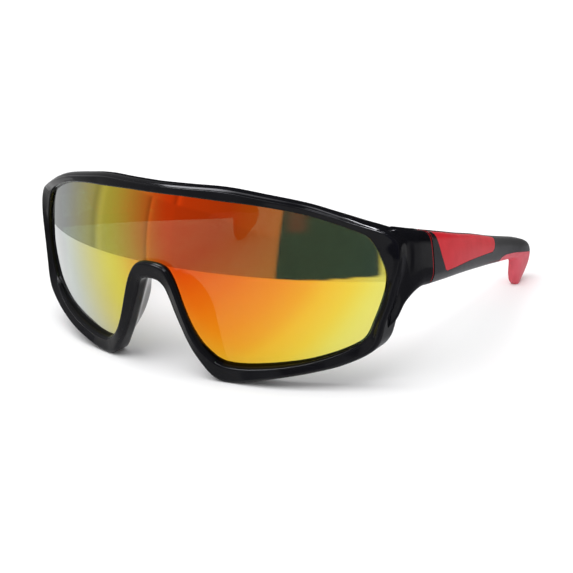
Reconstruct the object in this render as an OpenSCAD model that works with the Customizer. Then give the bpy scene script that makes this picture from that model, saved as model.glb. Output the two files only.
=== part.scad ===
/* [Front and lens] */
// Radius of the spherical front surface of the lens
lens_r = 95; // [92:1:105]
// Height of the lens sphere's centre above the lowest point of the front
lens_cz = 25.4; // [25:0.1:26]
// Distance of the lens sphere's centre behind the front plane
lens_cy = 94; // [93.8:0.1:94.2]
// Thickness of the lens sheet
lens_t = 1.8; // [1.4:0.1:2.0]
// How far the lens edge sits inside the rim groove
lens_lap = 1.1; // [0.8:0.1:1.3]
// How far the inside of the rim reaches behind the lens
rim_behind = 1.0; // [0.9:0.05:1.2]
// How much the top of the brow swells above its front crease
brow_crown = 0.9; // [0.6:0.1:1.1]
// Thickness of the moulded nose pads
pad_t = 2.2; // [1.8:0.1:2.6]

/* [Temples] */
// Distance from the front plane to the seam where a temple starts
seam_y = 35; // [34.8:0.1:35.4]
// Air gap at the seam with the temple open
seam_gap = 0.15; // [0.1:0.05:0.25]
// Thickness of the red collar at the seam
collar_t = 1.6; // [1.2:0.1:1.8]
// Depth of the pocket for the red inlay
inlay_d = 1.2; // [0.8:0.1:1.4]
// Clearance around parts that are set into a pocket
fit = 0.04; // [0.02:0.01:0.08]

/* [Hinges] */
// Distance of the hinge axis from the middle of the frame
hinge_x = 63.0; // [62.8:0.1:63.1]
// Height of the bottom of the lowest knuckle
hinge_z = 31.4; // [31:0.1:32]
// Height of one knuckle
knuckle_h = 1.6; // [1.5:0.05:1.7]
// Radius of the knuckles
knuckle_r = 1.4; // [1.3:0.05:1.4]
// Thickness of the hinge leaves
leaf_t = 0.9; // [0.8:0.05:0.95]
// Radius of the hinge screw's shank
pin_r = 0.7; // [0.6:0.05:0.75]
// Running clearance of the temple leaf on the screw
pin_fit = 0.03; // [0.02:0.01:0.05]

/* [Hidden] */
black = [0.05, 0.05, 0.055];
red = [0.80, 0.06, 0.07];
tip_red = [0.75, 0.10, 0.11];
steel = [0.72, 0.73, 0.75];
lens_col = [0.90, 0.45, 0.08];
hinge_h = 5 * knuckle_h;
origin_y = 68.08;
lift = 0.8;
// sphere on which the front face of the rim is laid out
face_r = 95;
face_cz = 26.2;

// ---------- small helpers ----------
// point on a Catmull-Rom curve through b and c
function cr(a, b, c, d, t) = 0.5 * (2 * b + (c - a) * t + (2 * a - 5 * b + 4 * c - d) * t * t + (3 * b - a - 3 * c + d) * t * t * t);
// smooth open curve through a list of vectors, n steps a span
function curve(p, n) = let (m = len(p) - 1) concat(
    [for (i = [0:m - 1]) for (k = [0:n - 1])
        cr(p[max(i - 1, 0)], p[i], p[i + 1], p[min(i + 2, m)], k / n)], [p[m]]);
function unit(v) = v / norm(v);
// closed skin over rings of points; wrap joins the last ring to the first
module skin(rings, wrap = false) {
    n = len(rings);
    m = len(rings[0]);
    pts = [for (r = rings) each r];
    side = [for (i = [0:(wrap ? n - 1 : n - 2)]) for (j = [0:m - 1])
        let (a = i * m + j, b = i * m + (j + 1) % m,
             c = ((i + 1) % n) * m + (j + 1) % m, d = ((i + 1) % n) * m + j)
        each [[a, b, c], [a, c, d]]];
    caps = wrap ? [] : [[for (j = [m - 1:-1:0]) j], [for (j = [0:m - 1]) (n - 1) * m + j]];
    polyhedron(points = pts, faces = concat(side, caps), convexity = 8);
}

// ---------- front outline ----------
// half outline, from the top centre around the side to the notch:
// [lens opening x, z, rim outside x, z, width of the rounded shoulder, width of the inner bevel,
//  height of the front face above the face sphere at the bevel and at the shoulder, depth of the outer wall,
//  swell of the top, fall of the top towards the back]
RIM = [
    [0, 52.4, 0, 54.6, 0.35, 0.6, 1.6, 1.8, 6, 1, 0.1], [10, 52.35, 10.3, 54.7, 0.35, 0.6, 1.6, 1.8, 6, 1, 0.1],
    [20, 51.9, 20.6, 54.6, 0.35, 0.6, 1.6, 1.8, 6, 1, 0.1], [30.1, 51.2, 31, 53.3, 0.35, 0.6, 1.6, 1.9, 6, 1, 0.1],
    [40.3, 49.7, 41.5, 51.5, 0.35, 0.6, 1.7, 2.2, 6.2, 1, 0.2], [47.4, 47.75, 49.3, 49.3, 0.35, 0.6, 1.8, 2.6, 6.4, 0.9, 0.35],
    [52.6, 45.75, 55, 47.2, 0.35, 0.6, 1.8, 2.8, 6.7, 0.7, 0.38], [56.9, 43.6, 60, 45.3, 0.35, 0.6, 1.8, 3, 7, 0.5, 0.42],
    [59.1, 40.7, 64.1, 43.1, 0.35, 0.6, 1.8, 3.3, 7.4, 0.25, 0.3], [60.7, 37.3, 65.5, 39.8, 0.5, 0.6, 1.8, 3.5, 7.8, 0, 0.1],
    [61.9, 33.5, 65.5, 34.8, 0.8, 0.6, 1.8, 3.3, 8, 0, 0], [61.9, 29.7, 64.7, 30, 1.1, 0.65, 1.8, 3.05, 8.3, 0, 0],
    [60.9, 25, 63.9, 25.5, 1.1, 0.65, 1.75, 2.95, 8.7, 0, 0], [59.4, 20, 62.4, 20, 1.1, 0.7, 1.85, 3.2, 8.7, 0, 0],
    [57.9, 16.1, 61.2, 14.3, 1.1, 0.75, 1.9, 3.7, 8.2, 0, 0], [55.6, 13.7, 58.6, 11.1, 1.1, 0.8, 2.1, 4, 7.8, 0, 0],
    [50.5, 10.9, 52.4, 7.8, 1.1, 0.8, 2.5, 4, 7.3, 0, 0], [44, 8.5, 45.6, 5.7, 1.1, 0.7, 2.75, 4.2, 7.1, 0, 0],
    [37, 6.9, 38.3, 3.9, 1.1, 0.65, 3, 4.5, 7, 0, 0], [31, 6, 31.8, 2.4, 1.1, 0.65, 3.1, 4.5, 7, 0, 0],
    [26, 5.6, 26.6, 1.1, 1.1, 0.7, 3.1, 4.2, 6.8, 0, 0], [22, 5.8, 22, 0.6, 1.1, 0.7, 3.1, 3.9, 6.5, 0, 0],
    [20.2, 6.4, 19.2, 1.4, 1.1, 0.7, 3.1, 3.8, 6.3, 0, 0], [18.6, 7.4, 16.9, 3.2, 1.1, 0.7, 3.1, 3.6, 6, 0, 0],
    [15.6, 10.6, 13.2, 8, 1.1, 0.75, 3.1, 3, 5.6, 0, 0], [13.3, 14.6, 10.9, 11.9, 1, 0.75, 2.9, 2.4, 5.2, 0, 0],
    [11.7, 18.5, 9.2, 15.6, 1, 0.75, 2.7, 2, 5, 0, 0], [10.2, 22.8, 7.4, 19.7, 1, 0.75, 2.6, 1.7, 5, 0, 0],
    [8.8, 26.8, 5.9, 23.5, 1, 0.75, 2.6, 1.55, 5, 0, 0], [7.3, 30, 4.6, 26.7, 0.9, 0.7, 2.6, 1.8, 5.2, 0, 0],
    [5.2, 32.6, 3, 28.4, 0.9, 0.7, 2.7, 2.1, 5.3, 0, 0], [2.6, 33.6, 1.3, 28.85, 0.9, 0.7, 2.7, 2.15, 5.3, 0, 0],
    [0, 33.75, 0, 28.9, 0.9, 0.7, 2.7, 2.15, 5.3, 0, 0]];
HALF = curve(RIM, 3);
// the whole outline, closed by its mirror image
OUT = concat(HALF, [for (i = [len(HALF) - 2:-1:1]) let (p = HALF[i])
    [-p[0], p[1], -p[2], p[3], p[4], p[5], p[6], p[7], p[8], p[9], p[10]]]);
// depth of the face sphere and of the lens, e outside their front surfaces
function sy(x, z, e) = face_r - sqrt(pow(face_r + e, 2) - x * x - pow(z - face_cz, 2));
function ly(x, z, e) = lens_cy - sqrt(pow(lens_r + e, 2) - x * x - pow(z - lens_cz, 2));
function open_pt(p, d) = let (w = [p[2] - p[0], p[3] - p[1]]) [p[0], p[1]] + unit(w) * d;
function out_pt(p, d) = let (w = [p[2] - p[0], p[3] - p[1]]) [p[2], p[3]] - unit(w) * d;
function on(q, e) = [q[0], sy(q[0], q[1], e), q[1]];
function lon(q, e) = [q[0], ly(q[0], q[1], e), q[1]];
// point on the outer wall, d inside the outline and k behind the front edge
function wall(p, d, k) = let (q = out_pt(p, d)) [q[0], sy(p[2], p[3], p[7]) + k, q[1]];
// point at the back of the rim near the lens opening
function inner(p, d, k) = let (q = open_pt(p, d)) [q[0], ly(q[0], q[1], -lens_t) + k, q[1]];
// section of the rim at one station of the outline
function rim_sec(p) = let (s = p[4], w = p[5], a = p[6], b = p[7], c = p[9] * brow_crown, f = p[10]) [
    lon(open_pt(p, 0), 0.1), (lon(open_pt(p, 0.3 * w), 0) + on(open_pt(p, 0.3 * w), a)) / 2, on(open_pt(p, w), a),
    on(out_pt(p, s), b), on(out_pt(p, 0.45 * s), b - 0.18 * s), on(out_pt(p, 0.08 * s), b - 0.55 * s),
    wall(p, 0, 1.1 * s), wall(p, -c, 2), wall(p, f, p[8] - 0.6), wall(p, 0.5 + f, p[8]),
    inner(p, 0.5, rim_behind), inner(p, 0, rim_behind - 0.5)];
module rim() { skin([for (p = OUT) rim_sec(p)], wrap = true); }
// groove that holds the edge of the lens
module lens_groove() {
    skin([for (p = OUT) [lon(open_pt(p, -1.5), fit), lon(open_pt(p, lens_lap + fit), fit),
                         lon(open_pt(p, lens_lap + fit), -lens_t - fit), lon(open_pt(p, -1.5), -lens_t - fit)]], wrap = true);
}

// ---------- temple and endpiece section ----------
// D-shaped section: [across, up] as fractions, flat inside, ridge low on the outside
DSEC = [[0, 0.08], [0.14, 0.013], [0.5, 0], [0.81, 0.06], [0.96, 0.17], [1, 0.27],
        [0.96, 0.52], [0.87, 0.78], [0.74, 0.93], [0.5, 1], [0.17, 1], [0, 0.94]];
// the same section with the outside cut back by the inlay's depth
function CSEC(t, h) = [for (q = DSEC)
    (q[0] > 0.45 && q[1] > 0.03) ? [min(q[0], max(0.4, q[0] - inlay_d / t)), q[1] > 0.9 ? q[1] - 0.9 / h : q[1]] : q];
// station: [inside x, outside x, top y, top z, bottom y, bottom z, outward lean]
function sec_pt(s, q) = [s[0] + q[0] * (s[1] - s[0]), s[4] + q[1] * (s[2] - s[4]), s[5] + q[1] * (s[3] - s[5]) - s[6] * q[0]];
function d_ring(s) = [for (q = DSEC) sec_pt(s, q)];
function c_ring(s) = let (c = CSEC(s[1] - s[0], norm([s[2] - s[4], s[3] - s[5]]))) [for (q = c) sec_pt(s, q)];
END = [[63.6, 69.3, 34.85, 42.6, 34.85, 27.3, 0], [63.6, 68.7, 32.5, 43.3, 32.5, 27.6, 0.2],
       [63.4, 68, 30, 43.95, 30, 27.3, 0.5], [63, 67.1, 28, 44.5, 28, 26.2, 0.9],
       [62.1, 65.9, 26, 45, 26, 23.6, 1.2], [61.4, 64.8, 24.4, 45.3, 24.4, 20.2, 1.3],
       [60.9, 63, 22.8, 45, 22.8, 18.5, 1.3]];
module endpiece() {
    c = curve(END, 3);
    skin([for (i = [len(c) - 1:-1:0]) d_ring(c[i])]);
}
ARM = [[63.6, 69.3, 36.0, 42.25, 36.0, 27.15, 0], [62.9, 68.4, 50, 38.4, 50, 24.8, 0],
       [61.9, 66.9, 65, 34.2, 65, 22.2, 0], [60.8, 65.2, 80, 30.2, 80, 19.3, 0],
       [59.8, 63.8, 95, 25.9, 94, 16.6, 0], [59.2, 63.0, 106, 22.9, 103, 14.8, 0],
       [58.8, 62.5, 116, 20.3, 110, 13.5, 0], [58.7, 62.3, 124.5, 18.0, 116, 12.4, 0],
       [58.7, 62.3, 131.9, 15.6, 120.3, 11.5, 0], [58.7, 62.3, 136.9, 12.9, 122.3, 10.3, 0],
       [58.7, 62.3, 138.7, 10.1, 122.6, 8.6, 0], [58.7, 62.3, 137.3, 6.9, 122.5, 6.6, 0],
       [58.8, 62.2, 134.6, 4.6, 122.6, 4.6, 0], [58.9, 62.1, 131.6, 2.9, 123.2, 2.8, 0],
       [59.2, 61.8, 129.2, 1.4, 124.4, 1.3, 0], [59.6, 61.4, 127.6, 0.3, 125.4, 0.2, 0]];
ARMC = curve(ARM, 3);
module temple_body() { skin([for (s = ARMC) d_ring(s)]); }
module temple_core() { skin([for (i = [0:25]) c_ring(ARMC[i])]); }
// side view of the red inlay: y, z
INLAY = [[38.6, 45], [39.3, 41.6], [40.0, 38.8], [41.7, 34.6], [44.7, 29.4], [46.0, 28.7], [67, 25.8],
         [80, 23.6], [93.4, 21.3], [96.0, 21.8], [96.7, 23.0], [97.0, 25.0], [97.5, 30], [70.0, 40.0]];
// side view of the rubber tip's region: everything below and behind this line
TIP = [[103.0, 9], [103.4, 15.4], [104.8, 16.4], [108.7, 16.2], [114, 15.3], [119.2, 14.3], [127, 12.5], [135, 10.6], [142, 8.9], [142, -2], [103.0, -2]];
module side(p, x0, x1) { translate([x0, 0, 0]) rotate([90, 0, 90]) linear_extrude(x1 - x0) polygon(p); }
// core of the arm that runs down inside the rubber tip
PEG = [[59.9, 61.2, 122, 16.6, 116.5, 14.6, 0], [59.9, 61.2, 129, 13.6, 123.3, 11.2, 0],
       [60, 61.1, 132.4, 10.5, 125.0, 8.8, 0], [60, 61.1, 130.6, 6.8, 125.0, 6.0, 0]];
function box_ring(s, g) = [sec_pt(s, [0, 0]) + [-g, 0, -g], sec_pt(s, [1, 0]) + [g, 0, -g], sec_pt(s, [1, 1]) + [g, 0, g], sec_pt(s, [0, 1]) + [-g, 0, g]];
module peg(g) {
    skin([for (s = curve(PEG, 3)) box_ring(s, g)]);
}

// ---------- hinge ----------
// space kept clear around the knuckles, the leaf plates and the screw head
module hinge_relief() {
    translate([hinge_x, seam_y, hinge_z - 1.2]) cylinder(r = knuckle_r + 0.35, h = hinge_h + 2.4, $fn = 48);
}
// pocket in the inside wall for one leaf plate
module leaf_pocket(y0, y1) {
    translate([hinge_x - 3, y0, hinge_z - fit]) cube([3 + knuckle_r + fit, y1 - y0, hinge_h + 2 * fit]);
}
plate_x = hinge_x + knuckle_r - leaf_t;
front_y0 = 28.9;
temple_y1 = 43.6;
screw_dx = 2.6;
// a leaf: dir -1 is the front one with three knuckles, +1 the temple one with two
module leaf(dir, y_far, idx, bore) {
    yn = seam_y + dir * 1.65;
    y0 = min(yn, y_far);
    y1 = max(yn, y_far);
    difference() {
        union() {
            translate([plate_x, y0, hinge_z + 0.05]) cube([leaf_t, y1 - y0, hinge_h - 0.1]);
            for (i = idx) {
                translate([plate_x, min(seam_y, yn), hinge_z + i * knuckle_h + 0.03])
                    cube([leaf_t, 1.7, knuckle_h - 0.06]);
                translate([hinge_x, seam_y, hinge_z + i * knuckle_h + 0.03]) cylinder(r = knuckle_r, h = knuckle_h - 0.06, $fn = 48);
            }
        }
        for (i = idx) translate([hinge_x, seam_y, hinge_z + i * knuckle_h - 0.1]) cylinder(r = bore, h = knuckle_h + 0.2, $fn = 48);
        for (k = [0, 1]) translate([plate_x - 1, leaf_screw_y(dir), leaf_screw_z(k)]) rotate([0, 90, 0]) cylinder(r = 0.55, h = 3, $fn = 32);
    }
}
function leaf_screw_y(dir) = dir < 0 ? 30.9 : 40.8;
function leaf_screw_z(k) = hinge_z + 2.0 + 4.0 * k;
// the two small screws that hold a leaf: domed head and plain shank
module leaf_screws(dir) {
    for (k = [0, 1]) translate([plate_x, leaf_screw_y(dir), leaf_screw_z(k)]) rotate([0, 90, 0]) difference() {
        union() {
            cylinder(r = 0.55 - 0.02, h = 3.4, $fn = 32);
            translate([0, 0, -0.32]) cylinder(r1 = 0.75, r2 = 1.0, h = 0.32, $fn = 32);
        }
        for (a = [0, 90]) rotate([0, 0, a]) translate([-0.5, -0.11, -0.4]) cube([1.0, 0.22, 0.25]);
    }
}
module screw_holes(dir) {
    for (k = [0, 1]) translate([plate_x + leaf_t - 0.2, leaf_screw_y(dir), leaf_screw_z(k)]) rotate([0, 90, 0]) cylinder(r = 0.55, h = 2.9, $fn = 32);
}
// hinge screw: slotted head on top, shank through all five knuckles
module hinge_pin() {
    translate([hinge_x, seam_y, hinge_z - 0.35]) difference() {
        union() {
            cylinder(r = pin_r, h = hinge_h + 0.4, $fn = 48);
            translate([0, 0, hinge_h + 0.38]) cylinder(r1 = 1.2, r2 = 1.05, h = 0.55, $fn = 48);
        }
        translate([-1.5, -0.14, hinge_h + 0.68]) cube([3, 0.28, 0.5]);
    }
}

// ---------- nose pad, moulded with the front ----------
// stations from the top of the notch down: root point, back edge point
PAD = [[[2.4, 2.2, 28.5], [3.8, 6.2, 30.0]], [[4.6, 2.2, 26.6], [6.9, 8.4, 27.6]], [[6.0, 2.2, 23.2], [9.4, 10.1, 24.0]],
       [[7.8, 2.2, 18.8], [11.1, 11.1, 19.3]], [[10.1, 2.4, 13.6], [13.1, 10.4, 13.7]],
       [[12.8, 2.8, 8.6], [15.6, 9.1, 8.8]], [[15.7, 3.2, 4.8], [18.0, 7.9, 5.1]], [[17.3, 3.6, 3.2], [19.6, 6.9, 3.4]]];
function pad_flat(p) = [p[0][0], p[0][1], p[0][2], p[1][0], p[1][1], p[1][2]];
function pad_ring(v) = let (a = [v[0], v[1], v[2]], b = [v[3], v[4], v[5]], d = unit(b - a), t = unit([d[1], -d[0], 0.25]) * pad_t)
    [a, b - d * 0.5, b + t * 0.12, b + t * 0.5, b + t * 0.88 - d * 0.1, b + t - d * 0.7, a + t - d * 0.6];
module nose_pad() {
    c = curve([for (p = PAD) pad_flat(p)], 3);
    skin([for (i = [len(c) - 1:-1:0]) pad_ring(c[i])]);
}
// everything below the table, cut away so that the lobes and tips get small flat feet
module below() { translate([-100, -20, lift - 10]) cube([200, 190, 10]); }

// ---------- nodes ----------
module front_frame() color(black) difference() {
    union() {
        rim();
        for (s = [0, 1]) mirror([s, 0, 0]) {
            endpiece();
            nose_pad();
        }
    }
    lens_groove();
    for (s = [0, 1]) mirror([s, 0, 0]) {
        hinge_relief();
        leaf_pocket(front_y0 - fit, seam_y + 0.1);
        screw_holes(-1);
        translate([60, seam_y - seam_gap, 20]) cube([12, 2, 30]);
    }
    below();
}
module shield_lens() color(lens_col) intersection() {
    translate([0, 40, 0]) rotate([90, 0, 0]) linear_extrude(50) polygon([for (p = OUT) open_pt(p, lens_lap)]);
    translate([0, lens_cy, lens_cz]) difference() {
        sphere(r = lens_r, $fn = 200);
        sphere(r = lens_r - lens_t, $fn = 200);
    }
}
module arm() color(black) difference() {
    union() {
        difference() {
            temple_body();
            translate([50, 30, 0]) cube([30, seam_y + collar_t - 30, 60]);
            side(INLAY, 62, 75);
            side(TIP, 50, 75);
        }
        intersection() {
            temple_core();
            side(INLAY, 55, 75);
            translate([50, seam_y + collar_t, 0]) cube([30, 90, 60]);
        }
        peg(0);
    }
    hinge_relief();
    leaf_pocket(seam_y - 0.2, temple_y1 + fit);
    screw_holes(1);
}
module inlay() color(red) difference() {
    intersection() {
        temple_body();
        side(INLAY, 62, 75);
    }
    temple_core();
}
module tip() color(tip_red) difference() {
    intersection() {
        temple_body();
        translate([0, 0, -fit]) side(TIP, 50, 75);
    }
    peg(fit);
    below();
}
module collar() color(red) difference() {
    intersection() {
        skin([d_ring([63.6, 69.3, seam_y - 0.2, 42.55, seam_y - 0.2, 27.3, 0]),
              d_ring([63.6, 69.2, seam_y + 2.4, 42.1, seam_y + 2.4, 27.1, 0])]);
        translate([50, seam_y, 0]) cube([30, collar_t - 0.02, 60]);
    }
    hinge_relief();
    leaf_pocket(seam_y - 0.2, seam_y + 3);
}
// the origin is under the middle of the open frame, on the table
module left() { translate([0, -origin_y, -lift]) children(); }
module right() { mirror([1, 0, 0]) left() children(); }

left() front_frame();
left() shield_lens();
left() arm();  // temple_arm_left
right() arm();  // temple_arm_right
left() inlay();  // temple_inlay_left
right() inlay();  // temple_inlay_right
left() tip();  // temple_tip_left
right() tip();  // temple_tip_right
left() collar();  // temple_collar_left
right() collar();  // temple_collar_right
left() color(steel) leaf(-1, front_y0, [0, 2, 4], pin_r + 0.01);  // hinge_front_leaf_left
right() color(steel) leaf(-1, front_y0, [0, 2, 4], pin_r + 0.01);  // hinge_front_leaf_right
left() color(steel) leaf(1, temple_y1, [1, 3], pin_r + pin_fit);  // hinge_temple_leaf_left
right() color(steel) leaf(1, temple_y1, [1, 3], pin_r + pin_fit);  // hinge_temple_leaf_right
left() color(steel) hinge_pin();  // hinge_screw_left
right() color(steel) hinge_pin();  // hinge_screw_right
left() color(steel) leaf_screws(-1);  // front_leaf_screws_left
right() color(steel) leaf_screws(-1);  // front_leaf_screws_right
left() color(steel) leaf_screws(1);  // temple_leaf_screws_left
right() color(steel) leaf_screws(1);  // temple_leaf_screws_right
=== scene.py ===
import math

import bmesh
import bpy
import numpy as np
from mathutils import Matrix, Vector
from mathutils.geometry import delaunay_2d_cdt
from mathutils.kdtree import KDTree


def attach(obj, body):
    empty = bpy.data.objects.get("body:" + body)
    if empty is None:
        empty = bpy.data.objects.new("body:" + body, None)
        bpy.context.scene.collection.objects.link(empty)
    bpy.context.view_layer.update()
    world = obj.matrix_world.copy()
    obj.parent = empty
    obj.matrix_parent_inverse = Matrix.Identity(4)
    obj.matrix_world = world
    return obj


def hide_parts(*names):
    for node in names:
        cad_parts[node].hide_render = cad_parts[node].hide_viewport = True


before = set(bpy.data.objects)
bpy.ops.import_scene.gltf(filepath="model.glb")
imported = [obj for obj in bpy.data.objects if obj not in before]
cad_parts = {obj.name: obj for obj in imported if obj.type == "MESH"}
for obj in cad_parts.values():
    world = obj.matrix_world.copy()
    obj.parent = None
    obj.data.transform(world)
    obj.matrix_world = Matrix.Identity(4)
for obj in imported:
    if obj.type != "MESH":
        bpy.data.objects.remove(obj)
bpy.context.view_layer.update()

# ------------------------------------------------------------------ shape data, in mm, as in the CAD source
ORIGIN_Y, LIFT = 68.08, 0.8
FACE_R, FACE_CZ = 95.0, 26.2
LENS_R, LENS_CY, LENS_CZ, LENS_T, LENS_LAP = 95.0, 94.0, 25.4, 1.8, 1.1
RIM_BEHIND, BROW_CROWN, FIT = 1.0, 0.9, 0.04
SEAM_Y, SEAM_GAP, COLLAR_T, INLAY_D = 35.0, 0.15, 1.6, 1.2
HINGE_X, HINGE_Z, KNUCKLE_H, KNUCKLE_R, LEAF_T = 63.0, 31.4, 1.6, 1.4, 0.9
HINGE_H = 5 * KNUCKLE_H
PAD_T = 2.2
RIM = [
    [0, 52.4, 0, 54.6, 0.35, 0.6, 1.6, 1.8, 6, 1, 0.1], [10, 52.35, 10.3, 54.7, 0.35, 0.6, 1.6, 1.8, 6, 1, 0.1],
    [20, 51.9, 20.6, 54.6, 0.35, 0.6, 1.6, 1.8, 6, 1, 0.1], [30.1, 51.2, 31, 53.3, 0.35, 0.6, 1.6, 1.9, 6, 1, 0.1],
    [40.3, 49.7, 41.5, 51.5, 0.35, 0.6, 1.7, 2.2, 6.2, 1, 0.2], [47.4, 47.75, 49.3, 49.3, 0.35, 0.6, 1.8, 2.6, 6.4, 0.9, 0.35],
    [52.6, 45.75, 55, 47.2, 0.35, 0.6, 1.8, 2.8, 6.7, 0.7, 0.38], [56.9, 43.6, 60, 45.3, 0.35, 0.6, 1.8, 3, 7, 0.5, 0.42],
    [59.1, 40.7, 64.1, 43.1, 0.35, 0.6, 1.8, 3.3, 7.4, 0.25, 0.3], [60.7, 37.3, 65.5, 39.8, 0.5, 0.6, 1.8, 3.5, 7.8, 0, 0.1],
    [61.9, 33.5, 65.5, 34.8, 0.8, 0.6, 1.8, 3.3, 8, 0, 0], [61.9, 29.7, 64.7, 30, 1.1, 0.65, 1.8, 3.05, 8.3, 0, 0],
    [60.9, 25, 63.9, 25.5, 1.1, 0.65, 1.75, 2.95, 8.7, 0, 0], [59.4, 20, 62.4, 20, 1.1, 0.7, 1.85, 3.2, 8.7, 0, 0],
    [57.9, 16.1, 61.2, 14.3, 1.1, 0.75, 1.9, 3.7, 8.2, 0, 0], [55.6, 13.7, 58.6, 11.1, 1.1, 0.8, 2.1, 4, 7.8, 0, 0],
    [50.5, 10.9, 52.4, 7.8, 1.1, 0.8, 2.5, 4, 7.3, 0, 0], [44, 8.5, 45.6, 5.7, 1.1, 0.7, 2.75, 4.2, 7.1, 0, 0],
    [37, 6.9, 38.3, 3.9, 1.1, 0.65, 3, 4.5, 7, 0, 0], [31, 6, 31.8, 2.4, 1.1, 0.65, 3.1, 4.5, 7, 0, 0],
    [26, 5.6, 26.6, 1.1, 1.1, 0.7, 3.1, 4.2, 6.8, 0, 0], [22, 5.8, 22, 0.6, 1.1, 0.7, 3.1, 3.9, 6.5, 0, 0],
    [20.2, 6.4, 19.2, 1.4, 1.1, 0.7, 3.1, 3.8, 6.3, 0, 0], [18.6, 7.4, 16.9, 3.2, 1.1, 0.7, 3.1, 3.6, 6, 0, 0],
    [15.6, 10.6, 13.2, 8, 1.1, 0.75, 3.1, 3, 5.6, 0, 0], [13.3, 14.6, 10.9, 11.9, 1, 0.75, 2.9, 2.4, 5.2, 0, 0],
    [11.7, 18.5, 9.2, 15.6, 1, 0.75, 2.7, 2, 5, 0, 0], [10.2, 22.8, 7.4, 19.7, 1, 0.75, 2.6, 1.7, 5, 0, 0],
    [8.8, 26.8, 5.9, 23.5, 1, 0.75, 2.6, 1.55, 5, 0, 0], [7.3, 30, 4.6, 26.7, 0.9, 0.7, 2.6, 1.8, 5.2, 0, 0],
    [5.2, 32.6, 3, 28.4, 0.9, 0.7, 2.7, 2.1, 5.3, 0, 0], [2.6, 33.6, 1.3, 28.85, 0.9, 0.7, 2.7, 2.15, 5.3, 0, 0],
    [0, 33.75, 0, 28.9, 0.9, 0.7, 2.7, 2.15, 5.3, 0, 0]]
DSEC = [[0, 0.08], [0.14, 0.013], [0.5, 0], [0.81, 0.06], [0.96, 0.17], [1, 0.27],
        [0.96, 0.52], [0.87, 0.78], [0.74, 0.93], [0.5, 1], [0.17, 1], [0, 0.94]]
END = [[63.6, 69.3, 34.85, 42.6, 34.85, 27.3, 0], [63.6, 68.7, 32.5, 43.3, 32.5, 27.6, 0.2],
       [63.4, 68, 30, 43.95, 30, 27.3, 0.5], [63, 67.1, 28, 44.5, 28, 26.2, 0.9],
       [62.1, 65.9, 26, 45, 26, 23.6, 1.2], [61.4, 64.8, 24.4, 45.3, 24.4, 20.2, 1.3],
       [60.9, 63, 22.8, 45, 22.8, 18.5, 1.3]]
ARM = [[63.6, 69.3, 36.0, 42.25, 36.0, 27.15, 0], [62.9, 68.4, 50, 38.4, 50, 24.8, 0],
       [61.9, 66.9, 65, 34.2, 65, 22.2, 0], [60.8, 65.2, 80, 30.2, 80, 19.3, 0],
       [59.8, 63.8, 95, 25.9, 94, 16.6, 0], [59.2, 63.0, 106, 22.9, 103, 14.8, 0],
       [58.8, 62.5, 116, 20.3, 110, 13.5, 0], [58.7, 62.3, 124.5, 18.0, 116, 12.4, 0],
       [58.7, 62.3, 131.9, 15.6, 120.3, 11.5, 0], [58.7, 62.3, 136.9, 12.9, 122.3, 10.3, 0],
       [58.7, 62.3, 138.7, 10.1, 122.6, 8.6, 0], [58.7, 62.3, 137.3, 6.9, 122.5, 6.6, 0],
       [58.8, 62.2, 134.6, 4.6, 122.6, 4.6, 0], [58.9, 62.1, 131.6, 2.9, 123.2, 2.8, 0],
       [59.2, 61.8, 129.2, 1.4, 124.4, 1.3, 0], [59.6, 61.4, 127.6, 0.3, 125.4, 0.2, 0]]
INLAY = [[38.6, 45], [39.3, 41.6], [40.0, 38.8], [41.7, 34.6], [44.7, 29.4], [46.0, 28.7], [67, 25.8],
         [80, 23.6], [93.4, 21.3], [96.0, 21.8], [96.7, 23.0], [97.0, 25.0], [97.5, 30], [70.0, 40.0]]
TIP = [[103.0, 9], [103.4, 15.4], [104.8, 16.4], [108.7, 16.2], [114, 15.3], [119.2, 14.3], [127, 12.5], [135, 10.6],
       [142, 8.9], [142, -2], [103.0, -2]]
PEG = [[59.9, 61.2, 122, 16.6, 116.5, 14.6, 0], [59.9, 61.2, 129, 13.6, 123.3, 11.2, 0],
       [60, 61.1, 132.4, 10.5, 125.0, 8.8, 0], [60, 61.1, 130.6, 6.8, 125.0, 6.0, 0]]
PAD = [[[2.4, 2.2, 28.5], [3.8, 6.2, 30.0]], [[4.6, 2.2, 26.6], [6.9, 8.4, 27.6]], [[6.0, 2.2, 23.2], [9.4, 10.1, 24.0]],
       [[7.8, 2.2, 18.8], [11.1, 11.1, 19.3]], [[10.1, 2.4, 13.6], [13.1, 10.4, 13.7]],
       [[12.8, 2.8, 8.6], [15.6, 9.1, 8.8]], [[15.7, 3.2, 4.8], [18.0, 7.9, 5.1]], [[17.3, 3.6, 3.2], [19.6, 6.9, 3.4]]]


# ------------------------------------------------------------------ curve and mesh helpers
def curve(p, n):
    """Smooth open curve through the rows of p, n steps a span."""
    p = np.asarray(p, float)
    m = len(p) - 1
    out = []
    for i in range(m):
        a, b, c, d = p[max(i - 1, 0)], p[i], p[i + 1], p[min(i + 2, m)]
        for k in range(n):
            t = k / n
            out.append(0.5 * (2 * b + (c - a) * t + (2 * a - 5 * b + 4 * c - d) * t * t + (3 * b - a - 3 * c + d) * t ** 3))
    out.append(p[m])
    return np.array(out)


def closed_curve(p, n):
    p = np.asarray(p, float)
    m = len(p)
    out = []
    for i in range(m):
        a, b, c, d = p[i - 1], p[i], p[(i + 1) % m], p[(i + 2) % m]
        for k in range(n):
            t = k / n
            out.append(0.5 * (2 * b + (c - a) * t + (2 * a - 5 * b + 4 * c - d) * t * t + (3 * b - a - 3 * c + d) * t ** 3))
    return np.array(out)


def smoothstep(a, b, x):
    t = np.clip((np.asarray(x, float) - a) / (b - a), 0, 1)
    return t * t * (3 - 2 * t)


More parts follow.
